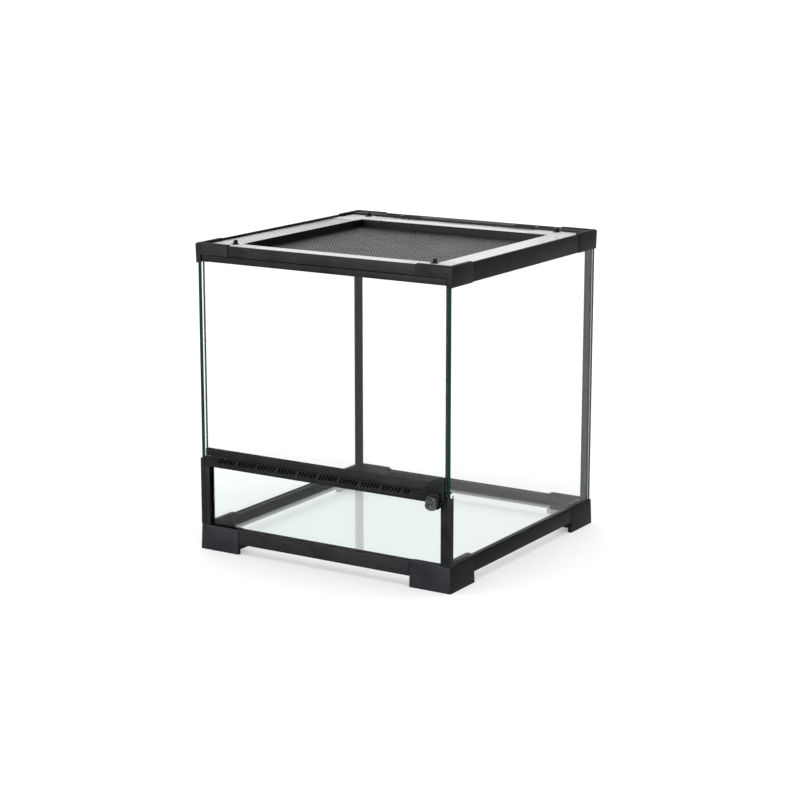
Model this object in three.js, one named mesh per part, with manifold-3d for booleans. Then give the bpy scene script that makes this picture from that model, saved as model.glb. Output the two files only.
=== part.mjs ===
// Knock-down glass pet cage: black frame of rails and corner pieces, glass panes,
// a hinged front door over a slotted vent, and a lift-off mesh lid.
// Millimetres, +Z up, +X right as seen from the front, +Y towards the back.
import * as THREE from 'three';
import { mergeVertices } from 'three/addons/utils/BufferGeometryUtils.js';
import Module from 'manifold-3d';

const wasm = await Module();
wasm.setup();

// ---- Driving dimensions ----
const WIDTH = 300;
const HEIGHT = 320;
const HALF = WIDTH / 2;
const FRONT_REACH = 7; // how far the latch knob stands in front of the feet
const GAP = 0.3; // assembly clearance
const OVERLAP = 1; // how far solids that are joined run into each other

const GLASS = 4;
const GLASS_INSET = 1.8; // frame side to the outer face of a side or back pane
const FACE_INSET = 0.6; // frame side to the outer face of a rail

const FOOT_TOP = 26.5;
const FOOT_ARM = 47;
const FOOT_WIDTH = 17.6;
const FOOT_TAPER = 0.8;
const FOOT_CHEEK = 3; // the wall of a foot inside the panes stands above its top
const SKIRT_WIDTH = 4.2; // only this outer rim of a foot touches the ground
const SKIRT_HEIGHT = 4.8;
const RAIL_BOTTOM = 11;
const RAIL_TOP = 26;
const RAIL_WIDTH = 17;
const RAIL_WALL = 10.5; // outer face to the inner face above the floor pane
const LEDGE_TOP = 16.2;
const FLOOR_BOTTOM = LEDGE_TOP + GAP;
const PANE_BOTTOM = 20.2;
const PANE_TOP = 306;

const CROWN_BOTTOM = 299.5; // underside of the upper corner pieces
const CROWN_ARM = 40;
const CROWN_WIDTH = 8;
const CROWN_TAPER = 0.4;
const CROWN_ROUND = 1.4; // chamfer round the top edge
const CROWN_WEB = 2; // wall of a top rail inside the groove for the pane
const CROWN_LIP = 5; // width of a corner piece beside the lid
const TOP_RAIL_BOTTOM = 300;
const TOP_RAIL_TOP = 319;
const LIP_WIDTH = 3.1; // upstand outside the lid
const LEDGE_WIDTH = 12;
const LID_LEDGE = 312.4;
const LEDGE_UNDERSIDE = 308.6;
const DOOR_HEAD = 308.2; // underside of the front rail above the door
const DOOR_STOP = [-142.8, -141]; // strip on the front rail behind the door
const DOOR_STOP_HEIGHT = 6;
const DECK_FRONT = 131.6; // front edge of the deep rear rail
const DECK_WALL = 2;
const DECK_BOTTOM = 316.5;
const DECK_LEDGE = 126.5;

const DOOR_X = 142.8;
const DOOR_GLASS_Y = -147.9;
const DOOR_BOTTOM = 100.2;
const DOOR_TOP = 307.5;
const TRIM_WALL = 0.5;
const TRIM_WEB = 0.9;
const DOOR_TRIM_HEIGHT = [6.3, 7.3]; // upper and lower edge trim
const HINGE_X = -139.5;
const HINGE_Y = DOOR_GLASS_Y + GLASS / 2;
const PIN_RADIUS = 2;
const PIN_GRIP = 2.8; // length of the upper hinge pin inside its corner piece
const RUNNING_CLEARANCE = 0.09;
const PIN_SIDES = 20;
const PIN_DEPTH = 1.5; // foot of the lower hinge pin above the floor of the vent

const WINDOW_Y = -146.4; // front face of the lower front pane
const WINDOW_X = 143.1;
const WINDOW_TOP = 91;
const POST_X = 138.2;
const POST_TOP = 97.5;
const POST_FACE = 149.4;
const POST_BACK = -140;
const POST_FLANGE_END = -143.6;
const POST_SLOPE = 9; // the side flange ends in a slope under the door
const POST_BEAD = 144.6; // fine groove down the post's face
const BEAD_DEPTH = 0.4;
const ANGLE_WIDTH = 5; // rear corner angles
const ANGLE_DEPTH = 10;
const ANGLE_WALL = 1.8;
const VENT_X = 143.6;
const VENT_BOTTOM = 88.8;
const VENT_TOP = 99.6;
const VENT_FRONT = -149.2;
const VENT_BACK = -139;
const VENT_FLOOR = 93;
const VENT_ROOF = 98.3;
const VENT_WALL = 2;
const SLOT_GROUPS = 10;
const SLOTS_PER_GROUP = 6;
const SLOTS_IN_LAST_GROUP = 2; // the row stops short at the latch
const GROUP_PITCH = 24.8;
const SLOT_PITCH = 3.6;
const SLOT_START = -128;
const SLOT_SIZE = 2.1;
const SLOT_SPAN = [93.3, 98.8];
const SLOT_SLANT = 3.4;
const SOCKET_WIDTH = 9.3; // block that holds the lower hinge pin

const LATCH_X = 131.5;
const LATCH_Z = 92.2;
const HOUSING_FRONT = -152.5;
const KNOB_BACK = HOUSING_FRONT - GAP;
const KNOB_FRONT = -HALF - FRONT_REACH;
const KNOB_LONG = 9.4; // axis to the heavy end, which hangs down when open
const KNOB_SHORT = 4.6;
const KNOB_SHOULDER = 5.2; // axis to the widest part of the heavy end
const KNOB_HALF_WIDTH = 6.6;
const KNOB_CROWN = 5.2; // half width at the light end
const KNOB_CHAMFER = 1.6;
const KNOB_FACE = 1.5; // thickness of the knob in front of its pin
const HOUSING_X = [125.4, 138.4];
const HOUSING_Z = [83.6, 99.2];
const HOUSING_CHAMFER = 1.8;
const CATCH_LEFT = 115.2;
const CATCH_RIGHT = 143.7;
const CATCH_PEAK = 115.5;
const CATCH_EDGE = 99.6; // lower edge over the housing
const CATCH_TOE = 97;
const CATCH_LEG = 93;
const CATCH_LEG_WIDTH = 4.2;
const CATCH_SHOULDER = 142; // where the arch meets its flat top
const CATCH_CURVE = 1.85; // power of the curve from the shoulder down to the toe
const LATCH_PIN_RADIUS = 1.6;
const CATCH_DEPTH = [-152, VENT_FRONT - GAP];
const CATCH_SEAT_X = [127, 142.2]; // where the catch is fixed to the door's lower trim
const CATCH_SEAT = [101.2, 106];

const LID_X = 144.4; // lid edge beside the corner pieces
const LID_WIDE_X = 146; // lid edge between the corner pieces
const LID_FRONT = -146;
const LID_BACK = 131;
const LID_TOP = 317;
const STRIP_BOTTOM = 316;
const SCREEN_X = 116; // edges of the sunken screen
const SCREEN_FRONT = -119;
const SCREEN_BACK = 106;
const CORNER_X = 90; // lid corner pieces start here
const CORNER_Y = [-108, 95];
const CORNER_NOTCH = 109.5;
const FRAME_WALL = 2;
const FRAME_FLANGE = 8;
const FRAME_TOP = 315.7;
const FRAME_RIM = 0.2; // the frame stops this far inside the lid's edge
const FRAME_FLANGE_BOTTOM = 312.7;
const FRAME_BOTTOM = 307;
const FRAME_SHELF = 308.1;
const WELL_X = SCREEN_X - 0.1; // inner faces of the frame round the screen
const WELL_Y = [SCREEN_FRONT + 0.1, SCREEN_BACK - 0.1];
const MITRE_OUT = 34; // how far the mitre cuts run out and in from the corners of the well
const MITRE_IN = 10;
const SCREEN_THICKNESS = 0.8;
const SCREEN_PLAY = 0.4; // screen edge to the wall of the well

const CATCH_X = 117;
const CATCH_Y = [-127, 121.5];
const CATCH_TOP = 322;
const CATCH_DISC = 4.2;
const CATCH_DISC_TOP = 318.2;
const FIN_WIDTH = 2.2;
const FIN_FOOT = 3.4; // half length of the fin where it meets the disc
const FIN_CREST = [-0.6, 2.6];
const SHAFT_RADIUS = 2;
const SHAFT_BOTTOM = 306;
const TONGUE_Z = [305.8, 308.2];
const TONGUE_HOLD = 3; // overlap of a turned tongue with the ledge above it
const TONGUE_WIDTH = 4.4;
const HUB_RADIUS = 3.6;

const INLET_X = [58, 109]; // slot for one cable inlet and its slider
const INLET_Y = [133.8, 143.4];
const INLET_HOLE_X = [86, 107];
const INLET_HOLE_Y = [135, 141.3];
const INLET_FLOOR = 317.7;
const SLIDER_LENGTH = 27;
const SLIDER_TOP = 319.1;
const SLIDER_RIBS = 4;
const RIB_START = 6;
const RIB_PITCH = 4.4;
const RIB_WIDTH = 1.6;
const RIB_MARGIN = 1.6;

// ---- Finishes ----
const satinBlack = () => new THREE.MeshStandardMaterial({ color: 0x2b2b2e, roughness: 0.5, metalness: 0 });
const clearGlass = () => new THREE.MeshStandardMaterial({ color: 0xe8f4f1, roughness: 0.05, metalness: 0 });
const paleMetal = () => new THREE.MeshStandardMaterial({ color: 0xd4d4da, roughness: 0.35, metalness: 0.9 });
const palePlastic = () => new THREE.MeshStandardMaterial({ color: 0xcdcdd3, roughness: 0.45, metalness: 0 });
const steel = () => new THREE.MeshStandardMaterial({ color: 0xa8a8ac, roughness: 0.3, metalness: 1 });
const screenMetal = () => new THREE.MeshStandardMaterial({ color: 0x5a5a5e, roughness: 0.4, metalness: 0.8 });

// ---- Solids: a mesh is turned into a manifold solid so that it can be cut and joined ----
function solid(geometry) {
  const bare = geometry.index ? geometry.toNonIndexed() : geometry;
  bare.deleteAttribute('normal');
  bare.deleteAttribute('uv');
  const merged = mergeVertices(bare, 1e-4);
  const mesh = new wasm.Mesh({
    numProp: 3,
    vertProperties: Float32Array.from(merged.attributes.position.array),
    triVerts: Uint32Array.from(merged.index.array),
  });
  return new wasm.Manifold(mesh);
}

function geometryOf(body) {
  const { vertProperties, triVerts } = body.getMesh();
  const geometry = new THREE.BufferGeometry();
  geometry.setAttribute('position', new THREE.Float32BufferAttribute(vertProperties, 3));
  geometry.setIndex(Array.from(triVerts));
  geometry.computeVertexNormals();
  return geometry;
}

function block([x0, x1], [y0, y1], [z0, z1]) {
  const geometry = new THREE.BoxGeometry(Math.abs(x1 - x0), Math.abs(y1 - y0), Math.abs(z1 - z0));
  geometry.translate((x0 + x1) / 2, (y0 + y1) / 2, (z0 + z1) / 2);
  return solid(geometry);
}

function extruded(points, length, holes = []) {
  const outline = new THREE.Shape(points.map(([a, b]) => new THREE.Vector2(a, b)));
  outline.holes = holes.map((hole) => new THREE.Path(hole.map(([a, b]) => new THREE.Vector2(a, b))));
  return new THREE.ExtrudeGeometry(outline, { depth: length, bevelEnabled: false });
}

// Prisms from a section: alongX takes [y, z] points, alongY [x, z] and alongZ [x, y].
function alongX(section, [x0, x1]) {
  const place = new THREE.Matrix4().set(0, 0, 1, x0, 1, 0, 0, 0, 0, 1, 0, 0, 0, 0, 0, 1);
  return solid(extruded(section, x1 - x0).applyMatrix4(place));
}

function alongY(section, [y0, y1]) {
  const place = new THREE.Matrix4().set(1, 0, 0, 0, 0, 0, -1, y1, 0, 1, 0, 0, 0, 0, 0, 1);
  return solid(extruded(section, y1 - y0).applyMatrix4(place));
}

function alongZ(section, [z0, z1], holes) {
  return solid(extruded(section, z1 - z0, holes).translate(0, 0, z0));
}

function upright(x, y, radius, [z0, z1], sides = PIN_SIDES) {
  const geometry = new THREE.CylinderGeometry(radius, radius, z1 - z0, sides);
  geometry.rotateX(Math.PI / 2).translate(x, y, (z0 + z1) / 2);
  return solid(geometry);
}

function pointingOut(x, z, radius, [y0, y1], sides = PIN_SIDES) {
  const geometry = new THREE.CylinderGeometry(radius, radius, y1 - y0, sides);
  return solid(geometry.translate(x, (y0 + y1) / 2, z));
}

// A square envelope whose half width follows a [halfWidth, z] profile.
function squareEnvelope(profile) {
  const [first, last] = [profile[0], profile[profile.length - 1]];
  const points = [[0, first[1]], ...profile, [0, last[1]]];
  const corner = Math.SQRT2;
  const lathe = new THREE.LatheGeometry(points.map(([r, z]) => new THREE.Vector2(r * corner, z)), 4);
  return solid(lathe.rotateX(Math.PI / 2).rotateZ(Math.PI / 4));
}

const rectangle = ([x0, x1], [y0, y1]) => [[x0, y0], [x1, y0], [x1, y1], [x0, y1]];
const flipX = (points, side) => points.map(([x, other]) => [x * side, other]);
const span = (side, a, b) => [side * a, side * b].sort((p, q) => p - q);

const cage = new THREE.Group();
cage.position.y = FRONT_REACH / 2; // the origin is the bottom centre of the whole object

function add(name, body, material) {
  const mesh = new THREE.Mesh(geometryOf(body), material());
  mesh.name = name;
  cage.add(mesh);
}

const SIDES = [['left', -1], ['right', 1]];
const ENDS = [['front', -1], ['back', 1]];
const CORNERS = ENDS.flatMap(([end, ey]) => SIDES.map(([side, sx]) => [`${end}_${side}`, sx, ey]));

// ---- Base: four feet and four rails carry the panes in grooves and the floor on a ledge ----
const sideGroove = [HALF - GLASS_INSET - GLASS - GAP, HALF - GLASS_INSET + GAP];
const windowGroove = [-WINDOW_Y - GLASS - GAP, -WINDOW_Y + GAP];

function baseSection(groove) {
  const face = HALF - FACE_INSET;
  return [
    [face, RAIL_BOTTOM], [face, RAIL_TOP], [groove[1], RAIL_TOP], [groove[1], PANE_BOTTOM - GAP],
    [groove[0], PANE_BOTTOM - GAP], [groove[0], RAIL_TOP], [face - RAIL_WALL, RAIL_TOP],
    [face - RAIL_WALL, LEDGE_TOP], [face - RAIL_WIDTH, LEDGE_TOP], [face - RAIL_WIDTH, RAIL_BOTTOM],
  ];
}

function addBaseRails() {
  const reach = HALF - FOOT_ARM - GAP;
  for (const [end, ey] of ENDS) {
    const groove = ey < 0 ? windowGroove : sideGroove;
    add(`bottom_rail_${end}`, alongX(flipX(baseSection(groove), ey), [-reach, reach]), satinBlack);
  }
  for (const [side, sx] of SIDES) {
    add(`bottom_rail_${side}`, alongY(flipX(baseSection(sideGroove), sx), [-reach, reach]), satinBlack);
  }
}

function footSolid(sx, ey) {
  const inner = HALF - FOOT_WIDTH;
  const armEnd = HALF - FOOT_ARM;
  const floorX = HALF - FACE_INSET - RAIL_WALL;
  const height = [0, FOOT_TOP];
  const above = [PANE_BOTTOM - GAP, FOOT_TOP + 1];
  const frontGroove = ey < 0 ? windowGroove : sideGroove;
  const rim = HALF - SKIRT_WIDTH;
  const wall = sideGroove[0];
  const clear = ey < 0 ? -POST_BACK - GAP : wall - ANGLE_DEPTH - GAP; // the cheek stops short of the post
  const cheek = [FOOT_TOP - 1, FOOT_TOP + FOOT_CHEEK];
  let foot = block(span(sx, inner, HALF), span(ey, armEnd, HALF), height)
    .add(block(span(sx, armEnd, HALF), span(ey, inner, HALF), height))
    .subtract(block(span(sx, 0, floorX), span(ey, 0, floorX), [LEDGE_TOP, FOOT_TOP + 1]))
    .subtract(block(span(sx, ...sideGroove), span(ey, 0, HALF - GLASS_INSET + GAP), above))
    .subtract(block(span(sx, 0, sideGroove[0] + GAP), span(ey, ...frontGroove), above))
    .subtract(block(span(sx, 0, rim), span(ey, 0, rim), [-1, SKIRT_HEIGHT]));
  foot = foot.intersect(squareEnvelope([[HALF, 0], [HALF - FOOT_TAPER, FOOT_TOP]]))
    .add(block(span(sx, floorX, wall), span(ey, armEnd, clear), cheek));
  if (ey < 0) return foot;
  return foot.add(block(span(sx, armEnd, wall - ANGLE_WIDTH - GAP), span(ey, floorX, wall), cheek));
}

function addBase() {
  for (const [corner, sx, ey] of CORNERS) add(`foot_${corner}`, footSolid(sx, ey), satinBlack);
  addBaseRails();
  const floor = HALF - FACE_INSET - RAIL_WALL - GAP;
  const across = [-floor, floor];
  add('floor_pane', block(across, across, [FLOOR_BOTTOM, FLOOR_BOTTOM + GLASS]), clearGlass);
}

// ---- Fixed glass ----
function addPanes() {
  const outer = HALF - GLASS_INSET;
  const inner = outer - GLASS;
  const height = [PANE_BOTTOM, PANE_TOP];
  for (const [side, sx] of SIDES) {
    add(`side_pane_${side}`, block(span(sx, inner, outer), [-outer, outer], height), clearGlass);
  }
  add('back_pane', block([GAP - inner, inner - GAP], [inner, outer], height), clearGlass);
  const windowDepth = [WINDOW_Y, WINDOW_Y + GLASS];
  add('front_lower_pane', block([-WINDOW_X, WINDOW_X], windowDepth, [PANE_BOTTOM, WINDOW_TOP]), clearGlass);
}

// ---- Posts: short channels beside the lower window, slim angles in the rear corners ----
function frontPost(sx) {
  const inner = HALF - GLASS_INSET - GLASS - GAP;
  const cover = HALF - GLASS_INSET + GAP;
  const grooveEnd = WINDOW_X + GAP;
  const face = -POST_FACE;
  const section = [
    [POST_FACE, face], [POST_FACE, POST_FLANGE_END], [cover, POST_FLANGE_END], [cover, -cover],
    [inner, -cover], [inner, POST_BACK], [POST_X, POST_BACK], [POST_X, -windowGroove[0]],
    [grooveEnd, -windowGroove[0]], [grooveEnd, -windowGroove[1]], [POST_X, -windowGroove[1]], [POST_X, face],
    [POST_BEAD - BEAD_DEPTH, face], [POST_BEAD, face + BEAD_DEPTH], [POST_BEAD + BEAD_DEPTH, face],
  ];
  const overTop = POST_TOP + 1;
  const slopeEnd = POST_FLANGE_END - 1;
  const point = [[-POST_FACE - 1, overTop], [slopeEnd, overTop], [slopeEnd, POST_TOP - POST_SLOPE]];
  const behindVent = block(span(sx, POST_X - 1, inner), [-HALF, POST_BACK + 1], [VENT_BOTTOM - GAP, overTop]);
  return alongZ(flipX(section, sx), [FOOT_TOP + GAP, POST_TOP])
    .subtract(behindVent)
    .subtract(alongX(point, span(sx, cover, HALF)));
}

function backPost(sx) {
  const wall = HALF - GLASS_INSET - GLASS - GAP;
  const section = [
    [wall, wall], [wall, wall - ANGLE_DEPTH], [wall - ANGLE_WALL, wall - ANGLE_DEPTH],
    [wall - ANGLE_WIDTH, wall - 2 * ANGLE_WALL], [wall - ANGLE_WIDTH, wall],
  ];
  return alongZ(flipX(section, sx), [FOOT_TOP + GAP, CROWN_BOTTOM - GAP]);
}

function addPosts() {
  for (const [side, sx] of SIDES) {
    add(`post_front_${side}`, frontPost(sx), satinBlack);
    add(`post_back_${side}`, backPost(sx), satinBlack);
  }
}

// ---- Crown: rails and corner pieces with a ledge for the lid ----
function crownSection() {
  const face = HALF - FACE_INSET;
  const [grooveIn, grooveOut] = sideGroove;
  return [
    [face, TOP_RAIL_BOTTOM], [face, TOP_RAIL_TOP], [face - LIP_WIDTH, TOP_RAIL_TOP],
    [face - LIP_WIDTH, LID_LEDGE], [face - LEDGE_WIDTH, LID_LEDGE],
    [face - LEDGE_WIDTH, LEDGE_UNDERSIDE], [grooveIn - CROWN_WEB, LEDGE_UNDERSIDE],
    [grooveIn - CROWN_WEB, TOP_RAIL_BOTTOM], [grooveIn, TOP_RAIL_BOTTOM], [grooveIn, PANE_TOP + GAP],
    [grooveOut, PANE_TOP + GAP], [grooveOut, TOP_RAIL_BOTTOM],
  ];
}

function frontRail(reach) {
  const face = HALF - FACE_INSET;
  const [stopFront, stopBack] = DOOR_STOP;
  const stopBottom = DOOR_HEAD - DOOR_STOP_HEIGHT;
  const section = [
    [-face, DOOR_HEAD], [stopFront, DOOR_HEAD], [stopFront, stopBottom], [stopBack, stopBottom],
    [stopBack, LEDGE_UNDERSIDE], [LEDGE_WIDTH - face, LEDGE_UNDERSIDE], [LEDGE_WIDTH - face, LID_LEDGE],
    [LIP_WIDTH - face, LID_LEDGE], [LIP_WIDTH - face, TOP_RAIL_TOP], [-face, TOP_RAIL_TOP],
  ];
  return alongX(section, [-reach, reach]);
}

function backRail(reach) {
  const face = HALF - FACE_INSET;
  const [grooveIn, grooveOut] = sideGroove;
  const seam = HALF - CROWN_LIP - GAP;
  const ledgeX = face - LEDGE_WIDTH - GAP;
  const outer = [
    [face, TOP_RAIL_BOTTOM], [face, TOP_RAIL_TOP],
    [seam - OVERLAP, TOP_RAIL_TOP], [seam - OVERLAP, DECK_BOTTOM],
    [grooveIn - CROWN_WEB, LEDGE_UNDERSIDE], [grooveIn - CROWN_WEB, TOP_RAIL_BOTTOM],
    [grooveIn, TOP_RAIL_BOTTOM],
    [grooveIn, PANE_TOP + GAP], [grooveOut, PANE_TOP + GAP], [grooveOut, TOP_RAIL_BOTTOM],
  ];
  let rail = alongX(outer, [-reach, reach])
    .add(block([-seam, seam], [DECK_FRONT, seam], [DECK_BOTTOM, TOP_RAIL_TOP]))
    .add(block([-ledgeX, ledgeX], [DECK_FRONT, DECK_FRONT + DECK_WALL], [LEDGE_UNDERSIDE, TOP_RAIL_TOP]))
    .add(block([-ledgeX, ledgeX], [DECK_LEDGE, DECK_FRONT + DECK_WALL], [LEDGE_UNDERSIDE, LID_LEDGE]));
  for (const [, sx] of SIDES) {
    rail = rail.subtract(block(span(sx, ...INLET_X), INLET_Y, [INLET_FLOOR, TOP_RAIL_TOP + 1]))
      .subtract(block(span(sx, ...INLET_HOLE_X), INLET_HOLE_Y, [TOP_RAIL_BOTTOM, TOP_RAIL_TOP + 1]));
  }
  return rail;
}

function crownCorner(sx, ey) {
  const armEnd = HALF - CROWN_ARM;
  const inner = HALF - CROWN_WIDTH;
  const ledge = HALF - FACE_INSET - LEDGE_WIDTH;
  const height = [CROWN_BOTTOM, HEIGHT];
  const ledgeHeight = [LEDGE_UNDERSIDE, LID_LEDGE];
  let piece = block(span(sx, inner, HALF), span(ey, armEnd, HALF), height)
    .add(block(span(sx, armEnd, HALF), span(ey, inner, HALF), height))
    .add(block(span(sx, ledge, HALF), span(ey, armEnd, HALF), ledgeHeight))
    .add(block(span(sx, armEnd, HALF), span(ey, ledge, HALF), ledgeHeight))
    .subtract(block(span(sx, 0, HALF - CROWN_LIP), span(ey, 0, HALF - CROWN_LIP), [LID_LEDGE, HEIGHT + 1]));
  const slotHeight = [CROWN_BOTTOM - 1, PANE_TOP + GAP];
  const slotEnd = HALF - GLASS_INSET + GAP;
  piece = piece.subtract(block(span(sx, ...sideGroove), span(ey, 0, slotEnd), slotHeight));
  if (ey > 0) {
    piece = piece.subtract(block(span(sx, 0, sideGroove[0] + 1), sideGroove, slotHeight));
  } else {
    const doorway = [CROWN_BOTTOM - 1, DOOR_HEAD];
    piece = piece.subtract(block(span(sx, 0, sideGroove[0]), [-HALF, 1 - inner], doorway));
  }
  if (ey < 0 && sx < 0) piece = piece.subtract(pinHole([DOOR_HEAD - 1, DOOR_HEAD + PIN_GRIP + 2 * GAP]));
  const envelope = squareEnvelope([
    [HALF - CROWN_TAPER, CROWN_BOTTOM], [HALF, HEIGHT - CROWN_ROUND], [HALF - CROWN_ROUND, HEIGHT],
  ]);
  return piece.intersect(envelope);
}

function addCrown() {
  const reach = HALF - CROWN_ARM - GAP;
  add('top_rail_front', frontRail(reach), satinBlack);
  add('top_rail_back', backRail(reach), satinBlack);
  for (const [side, sx] of SIDES) {
    add(`top_rail_${side}`, alongY(flipX(crownSection(), sx), [-reach, reach]), satinBlack);
  }
  for (const [corner, sx, ey] of CORNERS) add(`top_corner_${corner}`, crownCorner(sx, ey), satinBlack);
}

// ---- Vent strip with slanted slots, below the door ----
function pinHole(height) {
  return upright(HINGE_X, HINGE_Y, PIN_RADIUS + RUNNING_CLEARANCE, height);
}

function slot(x) {
  const [low, high] = SLOT_SPAN;
  const end = x + SLOT_SIZE;
  const section = [[x, low], [end, low], [end + SLOT_SLANT, high], [x + SLOT_SLANT, high]];
  return alongY(section, [VENT_FRONT - 1, VENT_FRONT + VENT_WALL + 1]);
}

function ventStrip() {
  const section = [
    [VENT_FRONT, VENT_BOTTOM], [VENT_FRONT, VENT_TOP], [VENT_BACK, VENT_TOP], [VENT_BACK, VENT_ROOF],
    [VENT_FRONT + VENT_WALL, VENT_ROOF], [VENT_FRONT + VENT_WALL, VENT_FLOOR], [VENT_BACK, VENT_FLOOR],
    [VENT_BACK, VENT_BOTTOM], [-windowGroove[0], VENT_BOTTOM], [-windowGroove[0], WINDOW_TOP + GAP],
    [-windowGroove[1], WINDOW_TOP + GAP], [-windowGroove[1], VENT_BOTTOM],
  ];
  const socketDepth = [VENT_FRONT + 1, VENT_BACK - 1];
  const socket = block([-VENT_X, SOCKET_WIDTH - VENT_X], socketDepth, [VENT_FLOOR - 1, VENT_ROOF + 1]);
  let strip = alongX(section, [-VENT_X, VENT_X])
    .add(socket)
    .subtract(pinHole([VENT_FLOOR + 1, VENT_TOP + 1]));
  for (let group = 0; group < SLOT_GROUPS; group += 1) {
    const count = group === SLOT_GROUPS - 1 ? SLOTS_IN_LAST_GROUP : SLOTS_PER_GROUP;
    for (let index = 0; index < count; index += 1) {
      strip = strip.subtract(slot(SLOT_START + group * GROUP_PITCH + index * SLOT_PITCH));
    }
  }
  return strip;
}

// ---- Latch: a knob with one heavy end turns in front of the door's catch ----
function knobOutline() {
  const shoulder = LATCH_Z - KNOB_SHOULDER;
  const steps = 6;
  const outline = [];
  for (let i = 0; i <= steps; i += 1) {
    const angle = Math.PI * (1 + i / steps);
    const drop = (LATCH_Z - KNOB_LONG - shoulder) * -Math.sin(angle);
    outline.push([LATCH_X + KNOB_HALF_WIDTH * Math.cos(angle), shoulder + drop]);
  }
  const top = LATCH_Z + KNOB_SHORT;
  for (const side of [1, -1]) {
    const crown = [[KNOB_CROWN, top - KNOB_CHAMFER], [KNOB_CROWN - KNOB_CHAMFER, top]];
    const ordered = side > 0 ? crown : crown.reverse();
    outline.push(...ordered.map(([x, z]) => [LATCH_X + side * x, z]));
  }
  return outline;
}

function chamferedPlate([x0, x1], [z0, z1], chamfer) {
  return [
    [x0, z0 + chamfer], [x0 + chamfer, z0], [x1 - chamfer, z0], [x1, z0 + chamfer],
    [x1, z1 - chamfer], [x1 - chamfer, z1], [x0 + chamfer, z1], [x0, z1 - chamfer],
  ];
}

function addLatch() {
  const housing = chamferedPlate(HOUSING_X, HOUSING_Z, HOUSING_CHAMFER);
  const depth = [HOUSING_FRONT, VENT_FRONT - GAP];
  const bore = pointingOut(LATCH_X, LATCH_Z, LATCH_PIN_RADIUS + RUNNING_CLEARANCE, [KNOB_FRONT - 1, 0]);
  add('latch_housing', alongY(housing, depth).subtract(bore), satinBlack);
  const knob = alongY(knobOutline(), [KNOB_FRONT, KNOB_BACK])
    .subtract(pointingOut(LATCH_X, LATCH_Z, LATCH_PIN_RADIUS + GAP, [KNOB_FRONT + KNOB_FACE, 0]));
  add('latch_knob', knob, satinBlack);
  const pinReach = [KNOB_FRONT + KNOB_FACE + GAP, VENT_FRONT - 2 * GAP];
  const pin = pointingOut(LATCH_X, LATCH_Z, LATCH_PIN_RADIUS, pinReach);
  add('latch_pin', pin, steel);
}

// ---- Door: glass with edge trims, turning on a pin at each left corner ----
function doorTrim([z0, z1], glassZ) {
  const front = DOOR_GLASS_Y - GAP - TRIM_WALL;
  const back = DOOR_GLASS_Y + GLASS + GAP + TRIM_WALL;
  const hole = upright(HINGE_X, HINGE_Y, PIN_RADIUS + GAP, [z0 - 1, z1 + 1]);
  return block([-DOOR_X, DOOR_X], [front, back], [z0, z1])
    .subtract(block([-DOOR_X - 1, DOOR_X + 1], [front + TRIM_WALL, back - TRIM_WALL], glassZ))
    .subtract(hole);
}

function catchOutline() {
  const outline = [[CATCH_RIGHT, CATCH_LEG], [CATCH_RIGHT, CATCH_PEAK], [CATCH_SHOULDER, CATCH_PEAK]];
  const steps = 6;
  for (let i = 1; i <= steps; i += 1) {
    const along = i / steps;
    outline.push([
      CATCH_SHOULDER - (CATCH_SHOULDER - CATCH_LEFT) * along,
      CATCH_PEAK - (CATCH_PEAK - CATCH_TOE) * along ** CATCH_CURVE,
    ]);
  }
  const toe = HOUSING_X[0] - GAP;
  const leg = CATCH_RIGHT - CATCH_LEG_WIDTH;
  outline.push([toe, CATCH_TOE], [toe, CATCH_EDGE], [leg, CATCH_EDGE], [leg, CATCH_LEG]);
  return outline;
}

function addDoor() {
  const [topTrim, bottomTrim] = DOOR_TRIM_HEIGHT;
  const glass = [DOOR_BOTTOM + TRIM_WEB + GAP, DOOR_TOP - TRIM_WEB - GAP];
  add('door_pane', block([-DOOR_X, DOOR_X], [DOOR_GLASS_Y, DOOR_GLASS_Y + GLASS], glass), clearGlass);
  const above = [DOOR_TOP - topTrim - 1, DOOR_TOP - TRIM_WEB];
  const below = [DOOR_BOTTOM + TRIM_WEB, DOOR_BOTTOM + bottomTrim + 1];
  add('door_top_trim', doorTrim([DOOR_TOP - topTrim, DOOR_TOP], above), satinBlack);
  add('door_bottom_trim', doorTrim([DOOR_BOTTOM, DOOR_BOTTOM + bottomTrim], below), satinBlack);
  add('hinge_pin_top', upright(HINGE_X, HINGE_Y, PIN_RADIUS, [glass[1] + GAP, DOOR_HEAD + PIN_GRIP]), steel);
  const lowerPin = [VENT_FLOOR + PIN_DEPTH, glass[0] - GAP];
  add('hinge_pin_bottom', upright(HINGE_X, HINGE_Y, PIN_RADIUS, lowerPin), steel);
  const trimFace = DOOR_GLASS_Y - GAP - TRIM_WALL;
  const seat = block(CATCH_SEAT_X, [VENT_FRONT - 1, trimFace - GAP], CATCH_SEAT);
  add('door_catch', alongY(catchOutline(), CATCH_DEPTH).add(seat), satinBlack);
}

// ---- Lid: pale strips and corners on a black frame that holds the sunken mesh ----
function cornerOutline(sx, ey) {
  const edge = ey < 0 ? -LID_FRONT : LID_BACK;
  const screen = ey < 0 ? -SCREEN_FRONT : SCREEN_BACK;
  const [frontJoint, backJoint] = CORNER_Y;
  const joint = ey < 0 ? -frontJoint : backJoint;
  const outline = [[CORNER_X, screen], [SCREEN_X, screen], [SCREEN_X, joint]];
  if (ey < 0) {
    outline.push([LID_X, joint], [LID_X, LID_X], [CORNER_NOTCH, LID_X], [CORNER_NOTCH, edge]);
  } else {
    outline.push([LID_WIDE_X, joint], [LID_WIDE_X, CORNER_NOTCH], [LID_X, CORNER_NOTCH], [LID_X, edge]);
  }
  outline.push([CORNER_X, edge]);
  return outline.map(([x, y]) => [x * sx, y * ey]);
}

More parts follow.
